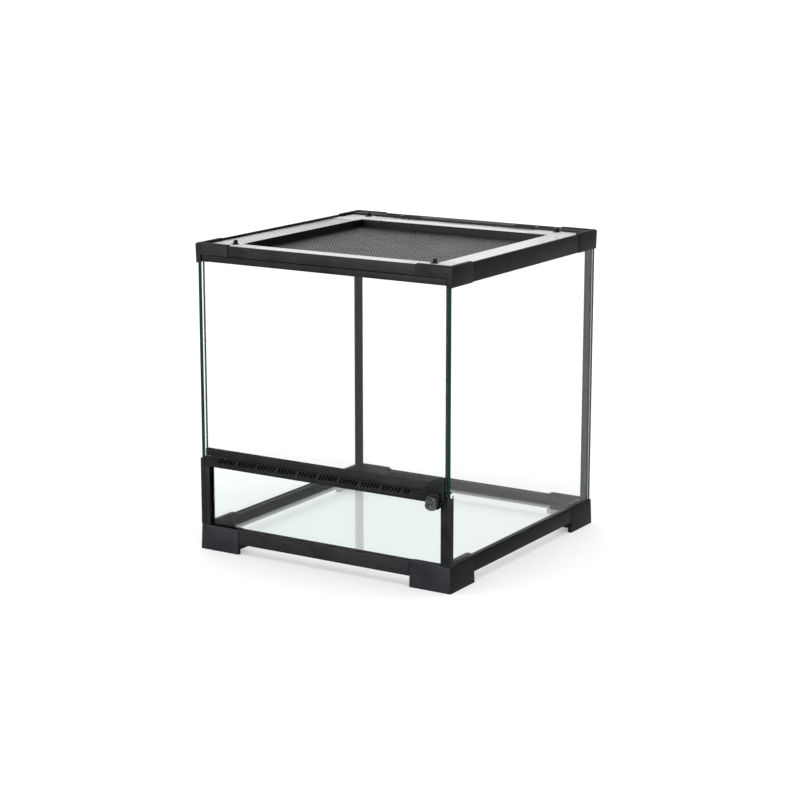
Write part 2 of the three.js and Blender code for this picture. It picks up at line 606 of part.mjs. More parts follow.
function shaftHole(sx, y, height) {
  return upright(sx * CATCH_X, y, SHAFT_RADIUS + RUNNING_CLEARANCE, height);
}

function addLidStrips() {
  const height = [STRIP_BOTTOM, LID_TOP];
  const length = [GAP - CORNER_X, CORNER_X - GAP];
  add('lid_strip_front', block(length, [LID_FRONT, SCREEN_FRONT], height), paleMetal);
  add('lid_strip_back', block(length, [SCREEN_BACK, LID_BACK], height), paleMetal);
  const [start, end] = [CORNER_Y[0] + GAP, CORNER_Y[1] - GAP];
  const outline = [
    [SCREEN_X, start], [LID_X, start], [LID_X, -CORNER_NOTCH], [LID_WIDE_X, -CORNER_NOTCH],
    [LID_WIDE_X, end], [SCREEN_X, end],
  ];
  for (const [side, sx] of SIDES) add(`lid_strip_${side}`, alongZ(flipX(outline, sx), height), paleMetal);
  for (const [corner, sx, ey] of CORNERS) {
    const y = CATCH_Y[ey < 0 ? 0 : 1];
    const hole = shaftHole(sx, y, [STRIP_BOTTOM - 1, LID_TOP + 1]);
    add(`lid_corner_${corner}`, alongZ(cornerOutline(sx, ey), height).subtract(hole), palePlastic);
  }
}

function screenWell() {
  const ring = (outerX, outerY, innerX, innerY, height) => alongZ(
    rectangle([-outerX, outerX], outerY), height, [rectangle([-innerX, innerX], innerY)],
  );
  const wallX = WELL_X + FRAME_WALL;
  const wallY = [WELL_Y[0] - FRAME_WALL, WELL_Y[1] + FRAME_WALL];
  const shelfX = wallX - FRAME_FLANGE;
  const shelfY = [wallY[0] + FRAME_FLANGE, wallY[1] - FRAME_FLANGE];
  const rimX = LID_X - FRAME_RIM;
  let frame = ring(rimX, [-rimX, LID_BACK - GAP], WELL_X, WELL_Y, [FRAME_FLANGE_BOTTOM, FRAME_TOP])
    .add(ring(wallX, wallY, WELL_X, WELL_Y, [FRAME_BOTTOM, FRAME_TOP]))
    .add(ring(wallX, wallY, shelfX, shelfY, [FRAME_BOTTOM, FRAME_SHELF]));
  for (const [, sx] of SIDES) {
    for (const y of CATCH_Y) frame = frame.subtract(shaftHole(sx, y, [FRAME_BOTTOM, FRAME_TOP + 1]));
  }
  return frame;
}

// The frame is four bars mitred at the corners of the well: each is what lies between two mitre lines.
function addScreenFrame() {
  const well = screenWell();
  const height = [FRAME_BOTTOM - 1, FRAME_TOP + 1];
  const trim = GAP / 2;
  for (const [end, ey] of ENDS) {
    const edge = Math.abs(WELL_Y[ey < 0 ? 0 : 1]);
    const quarter = [
      [-WELL_X - MITRE_OUT + trim, edge + MITRE_OUT], [WELL_X + MITRE_OUT - trim, edge + MITRE_OUT],
      [WELL_X - MITRE_IN - trim, edge - MITRE_IN], [-WELL_X + MITRE_IN + trim, edge - MITRE_IN],
    ];
    const wedge = alongZ(quarter.map(([x, y]) => [x, y * ey]), height);
    add(`screen_frame_${end}`, well.intersect(wedge), satinBlack);
  }
  const [front, back] = WELL_Y;
  for (const [side, sx] of SIDES) {
    const quarter = [
      [WELL_X + MITRE_OUT, front - MITRE_OUT + trim], [WELL_X + MITRE_OUT, back + MITRE_OUT - trim],
      [WELL_X - MITRE_IN, back - MITRE_IN - trim], [WELL_X - MITRE_IN, front + MITRE_IN + trim],
    ];
    add(`screen_frame_${side}`, well.intersect(alongZ(flipX(quarter, sx), height)), satinBlack);
  }
}

function lidCatch(sx, y) {
  const root = LID_TOP + 2 * GAP;
  const fin = [
    [y - FIN_FOOT, root], [y + FIN_FOOT, root], [y + FIN_CREST[1], CATCH_TOP], [y + FIN_CREST[0], CATCH_TOP],
  ];
  const x = sx * CATCH_X;
  return upright(x, y, SHAFT_RADIUS, [SHAFT_BOTTOM, root])
    .add(upright(x, y, CATCH_DISC, [LID_TOP + GAP, CATCH_DISC_TOP]))
    .add(alongX(fin, [x - FIN_WIDTH / 2, x + FIN_WIDTH / 2]));
}

function lidTongue(sx, y) {
  const x = sx * CATCH_X;
  const ledge = y < 0 ? HALF - FACE_INSET - LEDGE_WIDTH : DECK_LEDGE;
  const reach = ledge + TONGUE_HOLD - Math.abs(y);
  const across = [y - TONGUE_WIDTH / 2, y + TONGUE_WIDTH / 2];
  const arm = block(span(sx, CATCH_X - reach, CATCH_X), across, TONGUE_Z);
  return arm.add(upright(x, y, HUB_RADIUS, TONGUE_Z))
    .subtract(upright(x, y, SHAFT_RADIUS + GAP, [SHAFT_BOTTOM - 1, TONGUE_Z[1] + 1]));
}

function addLid() {
  addLidStrips();
  addScreenFrame();
  const meshZ = [FRAME_SHELF + GAP, FRAME_SHELF + GAP + SCREEN_THICKNESS];
  const reach = SCREEN_X - SCREEN_PLAY;
  const plate = block([-reach, reach], [SCREEN_FRONT + SCREEN_PLAY, SCREEN_BACK - SCREEN_PLAY], meshZ);
  add('screen_mesh', plate, screenMetal);
  for (const [corner, sx, ey] of CORNERS) {
    const y = CATCH_Y[ey < 0 ? 0 : 1];
    add(`lid_catch_${corner}`, lidCatch(sx, y), satinBlack);
    add(`lid_tongue_${corner}`, lidTongue(sx, y), satinBlack);
  }
}

// ---- Cable inlets: ribbed sliders over holes in the deep rear rail ----
function inletSlider(sx) {
  const start = INLET_X[1] - GAP - SLIDER_LENGTH;
  const depth = [INLET_Y[0] + GAP, INLET_Y[1] - GAP];
  let slider = block(span(sx, start, start + SLIDER_LENGTH), depth, [INLET_FLOOR + GAP, SLIDER_TOP]);
  for (let rib = 0; rib < SLIDER_RIBS; rib += 1) {
    const x = start + RIB_START + rib * RIB_PITCH;
    const across = [depth[0] + RIB_MARGIN, depth[1] - RIB_MARGIN];
    slider = slider.add(block(span(sx, x, x + RIB_WIDTH), across, [INLET_FLOOR + GAP, HEIGHT]));
  }
  return slider;
}

addBase();
addPanes();
addPosts();
addCrown();
add('vent_strip', ventStrip(), satinBlack);
addLatch();
addDoor();
addLid();
for (const [side, sx] of SIDES) add(`inlet_slider_${side}`, inletSlider(sx), satinBlack);

export default cage;
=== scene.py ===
"""Glass pet cage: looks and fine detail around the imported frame.

Metres, +Z up, +X right as seen from the front, +Y towards the back.
"""

import math

import bmesh
import bpy
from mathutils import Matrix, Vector


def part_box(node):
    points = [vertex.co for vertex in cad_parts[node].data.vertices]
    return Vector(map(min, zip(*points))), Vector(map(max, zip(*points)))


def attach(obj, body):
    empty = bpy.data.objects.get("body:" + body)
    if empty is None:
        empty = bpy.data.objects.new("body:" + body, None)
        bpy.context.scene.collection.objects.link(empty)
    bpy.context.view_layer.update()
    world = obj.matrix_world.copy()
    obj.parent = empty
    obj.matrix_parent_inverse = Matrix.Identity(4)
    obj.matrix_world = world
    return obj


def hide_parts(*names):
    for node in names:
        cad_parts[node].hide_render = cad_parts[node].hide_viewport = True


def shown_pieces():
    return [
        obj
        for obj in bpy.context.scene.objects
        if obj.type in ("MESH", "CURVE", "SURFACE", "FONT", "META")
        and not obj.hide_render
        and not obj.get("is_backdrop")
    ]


MM = 0.001
CORNERS = ("front_left", "front_right", "back_left", "back_right")
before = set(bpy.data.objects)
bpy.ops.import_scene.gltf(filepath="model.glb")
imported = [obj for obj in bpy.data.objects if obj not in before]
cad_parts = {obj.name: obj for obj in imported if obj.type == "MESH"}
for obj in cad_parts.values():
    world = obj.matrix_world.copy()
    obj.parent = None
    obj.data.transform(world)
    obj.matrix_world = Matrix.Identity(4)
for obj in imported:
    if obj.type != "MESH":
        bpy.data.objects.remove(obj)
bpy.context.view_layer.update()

# ---- Camera ----
CAMERA_PLACE = Vector((1.1437, -1.8357, 0.6293))
CAMERA_AZIMUTH = math.radians(31.89)
CAMERA_ELEVATION = math.radians(12.56)
CAMERA_LENS = 95.5
SENSOR_WIDTH = 36
CLIP = (0.01, 100)

# ---- Finishes ----
# Panes mirror a little less than bare glass would in an all-white studio.
WALL_IOR = 1.3
FLOOR_IOR = 1.36
RIGHT_IOR = 1.2  # the right wall is seen at a low angle, where it would mirror too strongly
SHADOW_TINT = (0.988, 0.996, 0.994, 1)

# Heights that the bump textures stand for
GRAIN_HEIGHT = 0.2 * MM
PIT_HEIGHT = 0.3 * MM
KNURL_HEIGHT = 0.5 * MM


class Surface:
    """A new material and short calls for the nodes in it."""

    def __init__(self, name):
        self.material = bpy.data.materials.new(name)
        self.material.use_nodes = True
        self.tree = self.material.node_tree
        self.tree.nodes.clear()
        self.output = self.tree.nodes.new("ShaderNodeOutputMaterial")
        self.place = self.tree.nodes.new("ShaderNodeTexCoord").outputs["Object"]

    def node(self, kind, inputs=None, **settings):
        made = self.tree.nodes.new(kind)
        for key, value in settings.items():
            setattr(made, key, value)
        for key, value in (inputs or {}).items():
            if isinstance(value, bpy.types.NodeSocket):
                self.tree.links.new(value, made.inputs[key])
            else:
                made.inputs[key].default_value = value
        return made

    def stretched(self, scale):
        mapping = self.node("ShaderNodeMapping", {"Vector": self.place, "Scale": scale})
        return mapping.outputs["Vector"]

    def noise(self, scale, detail, rough=0.55, vector=None):
        inputs = {"Vector": vector or self.place, "Scale": scale, "Detail": detail, "Roughness": rough}
        return self.node("ShaderNodeTexNoise", inputs).outputs["Fac"]

    def ramp(self, value, span, result=(0, 1)):
        """Maps a value's span to the two ends of the result."""
        inputs = {
            "Value": value,
            "From Min": span[0],
            "From Max": span[1],
            "To Min": result[0],
            "To Max": result[1],
        }
        return self.node("ShaderNodeMapRange", inputs).outputs["Result"]

    def blend(self, factor, first, second):
        made = self.node("ShaderNodeMix", data_type="RGBA")
        factor_socket, first_socket, second_socket = (made.inputs[i] for i in (0, 6, 7))
        self.tree.links.new(factor, factor_socket)
        first_socket.default_value = (*first, 1)
        second_socket.default_value = (*second, 1)
        return made.outputs[2]

    def add(self, first, second):
        return self.node("ShaderNodeMath", {0: first, 1: second}, operation="ADD").outputs[0]

    def bump(self, height, strength, distance, normal=None):
        inputs = {"Height": height, "Strength": strength, "Distance": distance}
        if normal:
            inputs["Normal"] = normal
        return self.node("ShaderNodeBump", inputs).outputs["Normal"]

    def principled(self, inputs):
        shader = self.node("ShaderNodeBsdfPrincipled", inputs)
        return self.finish(shader.outputs["BSDF"])

    def finish(self, shader):
        self.tree.links.new(shader, self.output.inputs["Surface"])
        return self.material


def scaled(colour, factor, lift=0.0):
    return tuple(channel * factor + lift for channel in colour)


def moulded_plastic(name, colour, rough=0.42, specular=0.045):
    """Satin black moulding: spark-eroded grain, faint flow marks and a few dry scuffs."""
    s = Surface(name)
    flow = s.noise(scale=38, detail=4)
    scuffs = s.noise(scale=60, detail=5, vector=s.stretched((1.0, 1.0, 9.0)))
    fine = s.noise(scale=2600, detail=2)
    pits = s.noise(scale=900, detail=2)
    worn = s.ramp(s.add(flow, scuffs), span=(0.8, 1.35))
    grain = s.bump(fine, strength=0.12, distance=GRAIN_HEIGHT)
    return s.principled({
        "Base Color": s.blend(worn, colour, scaled(colour, 1.55, lift=0.002)),
        "Roughness": s.ramp(s.add(flow, fine), span=(0.7, 1.3), result=(rough - 0.07, rough + 0.09)),
        "Specular IOR Level": specular,
        "Normal": s.bump(pits, strength=0.12, distance=PIT_HEIGHT, normal=grain),
    })


def knurled_grip(name, dark, light):
    """Coarse knurled moulding, lighter on its high spots."""
    s = Surface(name)
    knurl = s.noise(scale=620, detail=2, rough=0.5)
    fine = s.noise(scale=2400, detail=2)
    return s.principled({
        "Base Color": s.blend(s.ramp(knurl, span=(0.4, 0.62)), dark, light),
        "Roughness": s.ramp(fine, span=(0.3, 0.7), result=(0.42, 0.58)),
        "Specular IOR Level": 0.12,
        "Normal": s.bump(knurl, strength=0.7, distance=KNURL_HEIGHT),
    })


def brushed_metal(name, colour, along, rough=0.3):
    """Satin extrusion: hair lines run along one axis."""
    s = Surface(name)
    stretch = tuple(1.0 if axis == along else 60.0 for axis in range(3))
    lines = s.noise(scale=40, detail=5, rough=0.65, vector=s.stretched(stretch))
    cloud = s.noise(scale=22, detail=3)
    return s.principled({
        "Base Color": s.blend(s.ramp(lines, span=(0.3, 0.7)), scaled(colour, 0.84), colour),
        "Metallic": 0.9,
        "Roughness": s.ramp(s.add(lines, cloud), span=(0.75, 1.25), result=(rough - 0.07, rough + 0.1)),
        "Normal": s.bump(lines, strength=0.12, distance=GRAIN_HEIGHT),
    })


def pale_moulding(name, colour):
    """Satin pale moulding with faint flow marks."""
    s = Surface(name)
    flow = s.noise(scale=45, detail=4)
    fine = s.noise(scale=2400, detail=2)
    return s.principled({
        "Base Color": s.blend(s.ramp(flow, span=(0.35, 0.7)), scaled(colour, 0.88), colour),
        "Roughness": s.ramp(fine, span=(0.3, 0.7), result=(0.34, 0.48)),
        "Specular IOR Level": 0.5,
        "Normal": s.bump(fine, strength=0.12, distance=GRAIN_HEIGHT),
    })


def lets_lamps_through(s, shader):
    """Lamps shine through the pane; everything else sees real glass."""
    path = s.node("ShaderNodeLightPath")
    clear = s.node("ShaderNodeBsdfTransparent", {"Color": SHADOW_TINT})
    mix = s.node("ShaderNodeMixShader")
    choice, seen, shadow = mix.inputs
    s.tree.links.new(path.outputs["Is Shadow Ray"], choice)
    s.tree.links.new(shader, seen)
    s.tree.links.new(clear.outputs["BSDF"], shadow)
    return mix.outputs["Shader"]


def clear_glass(name, tint, ior):
    """Float glass with a trace of haze where it was wiped."""
    s = Surface(name)
    haze = s.noise(scale=14, detail=4, rough=0.6, vector=s.stretched((1.0, 1.0, 0.35)))
    shader = s.node("ShaderNodeBsdfGlass", {
        "Color": (*tint, 1),
        "IOR": ior,
        "Roughness": s.ramp(haze, span=(0.5, 0.85), result=(0.0, 0.012)),
    })
    return s.finish(lets_lamps_through(s, shader.outputs["BSDF"]))


def ground_edge(name, colour, bright):
    """The green edge of a pane, ground flat: streaks along it and a few bright nicks."""
    s = Surface(name)
    streaks = s.noise(scale=260, detail=4, rough=0.6)
    slow = s.noise(scale=16, detail=3)
    return s.principled({
        "Base Color": s.blend(s.ramp(s.add(streaks, slow), span=(0.75, 1.35)), colour, bright),
        "Roughness": s.ramp(streaks, span=(0.3, 0.7), result=(0.16, 0.34)),
        "Specular IOR Level": 0.14,
        "Normal": s.bump(streaks, strength=0.1, distance=GRAIN_HEIGHT),
    })


def coated_screen(name, dark, light):
    """Powder-coated perforated sheet."""
    s = Surface(name)
    flow = s.noise(scale=30, detail=4)
    fine = s.noise(scale=1800, detail=2)
    return s.principled({
        "Base Color": s.blend(s.ramp(flow, span=(0.35, 0.7)), dark, light),
        "Roughness": s.ramp(s.add(flow, fine), span=(0.7, 1.3), result=(0.3, 0.45)),
        "Specular IOR Level": 0.25,
        "Normal": s.bump(fine, strength=0.15, distance=GRAIN_HEIGHT),
    })


def turned_steel(name, dark, light):
    """Bright steel with fine rings across its axis."""
    s = Surface(name)
    rings = s.noise(scale=80, detail=4, rough=0.6, vector=s.stretched((1.0, 1.0, 30.0)))
    return s.principled({
        "Base Color": s.blend(s.ramp(rings, span=(0.3, 0.7)), dark, light),
        "Metallic": 1.0,
        "Roughness": s.ramp(rings, span=(0.3, 0.7), result=(0.22, 0.36)),
        "Normal": s.bump(rings, strength=0.1, distance=GRAIN_HEIGHT),
    })


BLACK = moulded_plastic("moulded_black", (0.0050, 0.0048, 0.0056))
BLACK_FOOT = moulded_plastic("moulded_black_foot", (0.0060, 0.0057, 0.0074))
BLACK_TRIM = moulded_plastic("moulded_black_trim", (0.0036, 0.0038, 0.0043), rough=0.36)
# A darker copy of the black moulding: painted shade for the parts that sit in recesses (screen frame
# walls, vent gauze); the gate ring uses it too.
BLACK_PAINTED_SHADE = moulded_plastic("moulded_black_painted_shade", (0.0026, 0.0024, 0.0034), rough=0.5, specular=0.05)
BLACK_GRIP = knurled_grip("moulded_black_grip", (0.008, 0.008, 0.009), (0.050, 0.051, 0.055))
STRIP_X = brushed_metal("satin_strip_along_x", (0.80, 0.80, 0.82), along=0)
# The left strip is the same satin metal as the others; its darker colour is painted shade.
STRIP_LEFT_PAINTED_SHADE = brushed_metal("satin_strip_left_painted_shade", (0.56, 0.56, 0.57), along=1)
STRIP_RIGHT = brushed_metal("satin_strip_right", (0.80, 0.79, 0.82), along=1)
PALE_CORNER = pale_moulding("pale_corner_moulding", (0.66, 0.66, 0.68))
GLASS = clear_glass("float_glass", (0.972, 0.976, 0.976), WALL_IOR)
RIGHT_GLASS = clear_glass("float_glass_right", (0.972, 0.976, 0.976), RIGHT_IOR)
WINDOW_GLASS = clear_glass("float_glass_window", (0.955, 0.976, 0.973), WALL_IOR)
# The floor pane's tint is faintly blue and clearer than the walls' glass: painted light that lifts the
# shaded floor seen through it.
FLOOR_GLASS_PAINTED_LIGHT = clear_glass("float_glass_floor_painted_light", (0.986, 0.998, 1.0), FLOOR_IOR)
GLASS_EDGE = ground_edge("green_glass_edge", (0.001, 0.018, 0.010), (0.006, 0.045, 0.030))
SCREEN = coated_screen("coated_screen", (0.012, 0.012, 0.0135), (0.022, 0.0215, 0.024))
STEEL = turned_steel("turned_steel", (0.42, 0.42, 0.43), (0.6, 0.6, 0.62))
BLACKS = (BLACK, BLACK_FOOT, BLACK_TRIM, BLACK_PAINTED_SHADE, BLACK_GRIP)

# ---- Mesh helpers ----
WELD_DISTANCE = 0.001 * MM
FLAT_ANGLE = math.radians(0.5)  # faces that turn less than this are one flat face
EDGE_ANGLE = math.radians(28)  # edges sharper than this are rounded
SMOOTH_ANGLE = math.radians(40)


def new_piece(name, mesh_data, materials, body, node=None):
    piece = bpy.data.objects.new(name, mesh_data)
    bpy.context.scene.collection.objects.link(piece)
    for material in materials:
        mesh_data.materials.append(material)
    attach(piece, body)
    if node:
        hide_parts(node)
    return piece


def from_bmesh(name, bm):
    data = bpy.data.meshes.new(name)
    bmesh.ops.recalc_face_normals(bm, faces=bm.faces)
    bm.to_mesh(data)
    bm.free()
    return data


def smoothed(data):
    data.polygons.foreach_set("use_smooth", [True] * len(data.polygons))
    data.set_sharp_from_angle(angle=SMOOTH_ANGLE)
    return data


def box_bmesh(low, high):
    bm = bmesh.new()
    bmesh.ops.create_cube(bm, size=1)
    size = Vector(high) - Vector(low)
    centre = (Vector(high) + Vector(low)) / 2
    for v in bm.verts:
        v.co = Vector(a * b for a, b in zip(v.co, size)) + centre
    return bm


def soften(node, material, width, segments=3):
    """Carries a CAD node over with rounded moulded edges."""
    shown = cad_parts[node]
    shown.data.materials.clear()
    shown.data.materials.append(material)
    weld = shown.modifiers.new("weld", "WELD")
    weld.merge_threshold = WELD_DISTANCE
    flat = shown.modifiers.new("flat", "DECIMATE")
    flat.decimate_type = "DISSOLVE"
    flat.angle_limit = FLAT_ANGLE
    bevel = shown.modifiers.new("edges", "BEVEL")
    bevel.width = width
    bevel.segments = segments
    bevel.limit_method = "ANGLE"
    bevel.angle_limit = EDGE_ANGLE
    bevel.use_clamp_overlap = True
    bevel.harden_normals = True
    shown.data.polygons.foreach_set("use_smooth", [True] * len(shown.data.polygons))


def sweep_closed(name, rings, closed_path, material, body):
    """Skins a list of equal rings of points into a closed piece."""
    bm = bmesh.new()
    rows = [[bm.verts.new(point) for point in ring] for ring in rings]
    count = len(rows[0])
    pairs = list(zip(rows, rows[1:]))
    if closed_path:
        pairs.append((rows[-1], rows[0]))
    for first, second in pairs:
        for k in range(count):
            after = (k + 1) % count
            bm.faces.new((first[k], first[after], second[after], second[k]))
    if not closed_path:
        bm.faces.new(rows[0])
        bm.faces.new(rows[-1])
    return new_piece(name, smoothed(from_bmesh(name, bm)), [material], body)


# ---- Glass panes: clear faces, ground green edges with a small seam ----
PANE_SEAM = 0.45 * MM
FACE_ON = 0.999  # a face whose normal is this close to the thin axis is a clear one


def add_pane(node, body, glass):
    low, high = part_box(node)
    bm = box_bmesh(low, high)
    thin = min(range(3), key=lambda axis: high[axis] - low[axis])
    bmesh.ops.bevel(bm, geom=bm.edges[:], offset=PANE_SEAM, segments=2, profile=0.5, affect="EDGES")
    for face in bm.faces:
        face.material_index = 0 if abs(face.normal[thin]) > FACE_ON else 1
    data = from_bmesh(node + "_glass", bm)
    new_piece(node + "_glass", data, [glass, GLASS_EDGE], body, node)


add_pane("side_pane_left", "tank", GLASS)
add_pane("back_pane", "tank", GLASS)
add_pane("side_pane_right", "tank", RIGHT_GLASS)
add_pane("front_lower_pane", "tank", WINDOW_GLASS)
# The floor pane takes the clearer glass, painted light for the shaded floor beneath it.
add_pane("floor_pane", "tank", FLOOR_GLASS_PAINTED_LIGHT)
add_pane("door_pane", "door", GLASS)

# ---- Mouldings, strips and pins carried over from the frame ----
FOOT_EDGE = 0.9 * MM
RAIL_EDGE = 0.6 * MM
STRIP_EDGE = 0.5 * MM
SMALL_EDGE = 0.3 * MM
CHANNEL_EDGE = 0.25 * MM
TRIM_EDGE = 0.2 * MM
SLOT_EDGE = 0.16 * MM

for corner in CORNERS:
    soften(f"foot_{corner}", BLACK_FOOT, FOOT_EDGE)
    soften(f"top_corner_{corner}", BLACK, RAIL_EDGE)
    soften(f"lid_corner_{corner}", PALE_CORNER, STRIP_EDGE)
    soften(f"lid_catch_{corner}", BLACK_TRIM, SMALL_EDGE)
    soften(f"lid_tongue_{corner}", BLACK_TRIM, SMALL_EDGE)
    soften(f"post_{corner}", BLACK_TRIM, CHANNEL_EDGE)
for side in ("front", "back", "left", "right"):
    soften(f"bottom_rail_{side}", BLACK, RAIL_EDGE)
    soften(f"top_rail_{side}", BLACK, RAIL_EDGE)
    # The screen frame walls take the darker painted-shade black.
    soften(f"screen_frame_{side}", BLACK_PAINTED_SHADE, SMALL_EDGE)
# The left strip takes the darker painted-shade copy of the satin metal.
for side, metal in (("front", STRIP_X), ("back", STRIP_X), ("left", STRIP_LEFT_PAINTED_SHADE), ("right", STRIP_RIGHT)):
    soften(f"lid_strip_{side}", metal, STRIP_EDGE)
for end in ("top", "bottom"):
    soften(f"door_{end}_trim", BLACK_TRIM, TRIM_EDGE)
    soften(f"hinge_pin_{end}", STEEL, SMALL_EDGE)
for side in ("left", "right"):
    soften(f"inlet_slider_{side}", BLACK_TRIM, CHANNEL_EDGE)
soften("vent_strip", BLACK_TRIM, SLOT_EDGE, segments=2)
soften("door_catch", BLACK_TRIM, RAIL_EDGE)
soften("latch_housing", BLACK, STRIP_EDGE)
soften("latch_knob", BLACK_GRIP, RAIL_EDGE)
soften("latch_pin", STEEL, TRIM_EDGE)

# ---- Perforated screen: staggered diamond openings, a plain border with rounded corners ----
HOLE_PITCH = 3.7 * MM  # along a row
ROW_PITCH = 2.5 * MM
HOLE_HALF = (1.25 * MM, 0.92 * MM)
SHEET_THICKNESS = 0.35 * MM
PLAIN_BORDER = (15 * MM, 12 * MM)
BORDER_ROUND = 20 * MM
HOLE_TIPS = ((-1, 0), (0, -1), (1, 0), (0, 1))  # left, front, right, back


def in_perforated_zone(x, y, low, high):
    """Whether a hole's centre lies inside the rounded rectangle that is perforated."""
    middle = (low + high) / 2
    half_x = (high.x - low.x) / 2 - PLAIN_BORDER[0]
    half_y = (high.y - low.y) / 2 - PLAIN_BORDER[1]
    past_x = max(0.0, abs(x - middle.x) - (half_x - BORDER_ROUND))
    past_y = max(0.0, abs(y - middle.y) - (half_y - BORDER_ROUND))
    return math.hypot(past_x, past_y) < BORDER_ROUND


class Sheet:
    """The points and faces of the screen, on an upper (0) and an under (1) level.

    Every cell spans two columns and one row; cells of odd rows are shifted by one column.
    """

    def __init__(self, low, high):
        self.low, self.high = low, high
        self.columns = 2 * round((high.x - low.x) / HOLE_PITCH)
        self.rows = round((high.y - low.y) / ROW_PITCH)
        self.step_x = (high.x - low.x) / self.columns
        self.step_y = (high.y - low.y) / self.rows
        self.levels = (low.z + SHEET_THICKNESS, low.z)
        self.points = []
        self.faces = []
        self.grid = [[self.grid_row(j, level) for j in range(self.rows + 1)] for level in (0, 1)]

    def point(self, x, y, level):
        self.points.append((x, y, self.levels[level]))
        return len(self.points) - 1

    def grid_row(self, j, level):
        y = self.low.y + j * self.step_y
        return [self.point(self.low.x + i * self.step_x, y, level) for i in range(self.columns + 1)]

    def rim(self, level, start, end, j):
        """The grid points round the cell from column start to end in row j."""
        along = list(range(start, end + 1))
        front, back = self.grid[level][j], self.grid[level][j + 1]
        return [front[i] for i in along] + [back[i] for i in reversed(along)]

    def plain_cell(self, start, end, j):
        self.faces.append(self.rim(0, start, end, j))
        self.faces.append(self.rim(1, start, end, j)[::-1])

    def pierced_cell(self, start, j, x, y):
        left, front, right, back = (
            [self.point(x + HOLE_HALF[0] * a, y + HOLE_HALF[1] * b, level) for level in (0, 1)]
            for a, b in HOLE_TIPS
        )
        for level in (0, 1):
            rim = self.rim(level, start, start + 2, j)
            self.faces.extend((
                (rim[0], rim[1], front[level], left[level]),
                (rim[1], rim[2], right[level], front[level]),
                (rim[2], rim[3], right[level]),
                (rim[3], rim[4], back[level], right[level]),
                (rim[4], rim[5], left[level], back[level]),
                (rim[5], rim[0], left[level]),
            ))
        for first, second in ((left, front), (front, right), (right, back), (back, left)):
            self.faces.append((first[0], second[0], second[1], first[1]))

    def add_row(self, j):
        shift = j % 2
        if shift:
            self.plain_cell(0, 1, j)
            self.plain_cell(self.columns - 1, self.columns, j)
        y = self.low.y + (j + 0.5) * self.step_y
        for start in range(shift, self.columns - 1, 2):
            x = self.low.x + (start + 1) * self.step_x
            if in_perforated_zone(x, y, self.low, self.high):
                self.pierced_cell(start, j, x, y)
            else:
                self.plain_cell(start, start + 2, j)

    def add_edges(self):
        """The thin outer walls of the sheet."""
        upper, under = self.grid
        for i in range(self.columns):
            for j in (0, self.rows):
                self.faces.append((upper[j][i], upper[j][i + 1], under[j][i + 1], under[j][i]))
        for j in range(self.rows):
            for i in (0, self.columns):
                self.faces.append((upper[j][i], upper[j + 1][i], under[j + 1][i], under[j][i]))


def add_screen():
    sheet = Sheet(*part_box("screen_mesh"))
    for j in range(sheet.rows):
        sheet.add_row(j)
    sheet.add_edges()
    data = bpy.data.meshes.new("perforated_screen")
    data.from_pydata(sheet.points, [], sheet.faces)
    bm = bmesh.new()
    bm.from_mesh(data)
    bmesh.ops.recalc_face_normals(bm, faces=bm.faces)
    bm.to_mesh(data)
    bm.free()
    new_piece("perforated_screen", data, [SCREEN], "lid", "screen_mesh")


add_screen()

# ---- Small details the frame leaves out ----
PLEAT_PITCH = 2.2 * MM
PLEAT_DEPTH = 1.2 * MM
GAUZE_THICKNESS = 0.3 * MM
GAUZE_SETBACK = 2.6 * MM  # from the front of the vent
GAUZE_LIFT = 4.3 * MM  # from the bottom of the vent
GAUZE_DROP = 1.4 * MM  # from its top
GAUZE_LEFT = 12 * MM  # from its left end
GAUZE_RIGHT = 38 * MM  # from its right end, where the latch is


def add_vent_gauze():
    """A pleated strip of black gauze stands in the vent behind its slots, so they read dark; it is drawn
    in the darker painted-shade black.
    """
    low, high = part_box("vent_strip")
    front = low.y + GAUZE_SETBACK
    base, top = low.z + GAUZE_LIFT, high.z - GAUZE_DROP
    start, end = low.x + GAUZE_LEFT, high.x - GAUZE_RIGHT
    count = 2 * round((end - start) / PLEAT_PITCH)
    rings = []
    for i in range(count + 1):
        x = start + (end - start) * i / count
        near = front + (PLEAT_DEPTH if i % 2 else 0)
        far = near + GAUZE_THICKNESS
        rings.append([(x, near, base), (x, far, base), (x, far, top), (x, near, top)])
    # The gauze is drawn in the darker painted-shade black.
    sweep_closed("vent_gauze", rings, False, BLACK_PAINTED_SHADE, "tank")


COLLAR_INNER = 4.7 * MM
COLLAR_OUTER = 8.2 * MM
COLLAR_HEIGHT = 0.9 * MM
COLLAR_SUNK = 0.2 * MM  # how deep it stands in the lid corner
COLLAR_CHAMFER = (0.3 * MM, 0.2 * MM)  # outwards, downwards
COLLAR_SLOPE = 1.4 * MM  # width of its outer slope
COLLAR_TOE = 0.4 * MM
COLLAR_STEPS = 40


def add_catch_collars():
    """A low pale collar round each lid catch."""
    section = [
        (COLLAR_INNER, -COLLAR_SUNK),
        (COLLAR_INNER, COLLAR_HEIGHT - COLLAR_CHAMFER[1]),
        (COLLAR_INNER + COLLAR_CHAMFER[0], COLLAR_HEIGHT),
        (COLLAR_OUTER - COLLAR_SLOPE, COLLAR_HEIGHT * 0.8),
        (COLLAR_OUTER - COLLAR_TOE, COLLAR_HEIGHT * 0.4),
        (COLLAR_OUTER, -COLLAR_SUNK),
    ]
    for corner in CORNERS:
        low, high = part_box(f"lid_catch_{corner}")
        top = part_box(f"lid_corner_{corner}")[1].z
        centre = (low + high) / 2
        rings = []
        for k in range(COLLAR_STEPS):
            turn = 2 * math.pi * k / COLLAR_STEPS
            across, along = math.cos(turn), math.sin(turn)
            rings.append([(centre.x + r * across, centre.y + r * along, top + z) for r, z in section])
        sweep_closed(f"catch_collar_{corner}", rings, True, PALE_CORNER, "lid")


